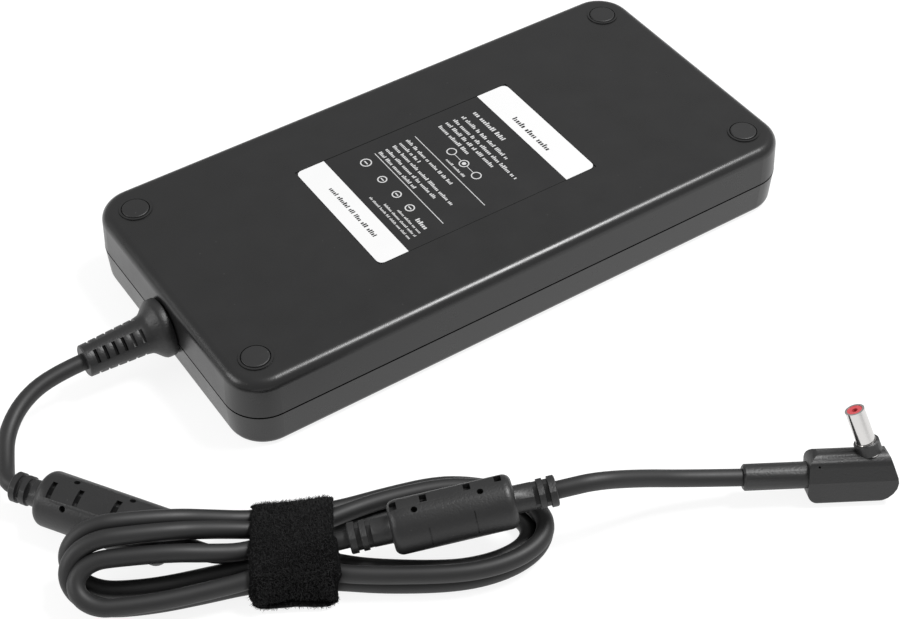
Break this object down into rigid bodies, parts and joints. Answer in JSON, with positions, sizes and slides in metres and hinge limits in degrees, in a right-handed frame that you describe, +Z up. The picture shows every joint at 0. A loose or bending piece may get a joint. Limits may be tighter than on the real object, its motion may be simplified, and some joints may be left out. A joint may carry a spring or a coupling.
{
  "type": "laptop power adapter",
  "caption": "Slim laptop power adapter brick with mains inlet, ribbed cord boot, cord bundled in a hook-and-loop wrap between ferrite beads, and a right-angle barrel plug.",
  "frame": {"origin": "centre of the casing's plain underside, on the surface it rests on", "axes": "+X along the casing from the low-voltage cord to the mains inlet, +Z up through the label face, +Y away from the bundled cord"},
  "size_m": [0.2667, 0.2131, 0.0277],
  "materials": {
    "casing": "fine satin texture",
    "label": "printed film",
    "foot_rubber": "smooth matt rubber",
    "inlet_plastic": "matt moulded",
    "nickel": "bright nickel plate",
    "board": "solder mask",
    "copper": "enamelled copper",
    "insulation": "matt film",
    "fuse_plastic": "moulded",
    "ceramic_blue": "dipped ceramic",
    "film_yellow": "moulded box",
    "ferrite": "sintered",
    "component_black": "moulded epoxy",
    "aluminium": "mill finish",
    "wire_line": "extruded",
    "wire_neutral": "extruded",
    "wire_earth": "extruded",
    "wire_positive": "extruded",
    "wire_return": "extruded",
    "cord_jacket": "satin extruded jacket",
    "moulded_vinyl": "fine spark-eroded texture",
    "hook_and_loop": "brushed loop pile",
    "insulator_red": "moulded"
  },
  "bodies": {
    "adapter": {"bead_one_cover": "moulded_vinyl", "bead_one_ferrite": "ferrite", "bead_two_cover": "moulded_vinyl", "bead_two_ferrite": "ferrite", "boost_choke_coil": "copper", "boost_choke_core": "ferrite", "bridge_rectifier": "component_black", "bulk_capacitors": "aluminium", "ceramic_disc_capacitors": "ceramic_blue", "common_mode_core": "ferrite", "common_mode_windings": "copper", "control_board": "board", "control_chips": "component_black", "cord_bundle": "cord_jacket", "cord_in_bead_one": "cord_jacket", "cord_in_bead_two": "cord_jacket", "cord_in_boot": "cord_jacket", "cord_lead": "cord_jacket", "cord_tail": "cord_jacket", "earth_blade": "nickel", "earth_wire": "wire_earth", "film_capacitors": "film_yellow", "foot_front_left": "foot_rubber", "foot_front_right": "foot_rubber", "foot_rear_left": "foot_rubber", "foot_rear_right": "foot_rubber", "fuse": "fuse_plastic", "gap_pads": "insulation", "heat_spreader_sheet": "copper", "inlet_body": "inlet_plastic", "inrush_thermistor": "ceramic_blue", "insulation_sheet": "insulation", "isolation_couplers": "component_black", "label_cover": "casing", "line_blade": "nickel", "line_wire": "wire_line", "lower_cover": "casing", "main_board": "board", "neutral_blade": "nickel", "neutral_wire": "wire_neutral", "output_capacitors": "aluminium", "plug_body": "moulded_vinyl", "plug_contact": "nickel", "plug_insulator": "insulator_red", "plug_sleeve": "nickel", "positive_wire": "wire_positive", "power_switches": "component_black", "primary_heat_sink": "aluminium", "rating_label": "label", "rectifier_heat_plate": "aluminium", "resonant_choke": "ferrite", "return_wire": "wire_return", "strain_relief": "moulded_vinyl", "strap_wrap": "hook_and_loop", "synchronous_rectifiers": "component_black", "transformer_core": "ferrite", "transformer_windings": "copper"},
    "strap_end": {"strap_tab": "hook_and_loop"}
  },
  "joints": [
    {"name": "strap_peel", "type": "hinge", "parent": "adapter", "child": "strap_end", "pos_m": [-0.11423, -0.09996, 0.011], "axis": [-0.8712, 0.4909, 0], "range_deg": [0, 110]}
  ]
}
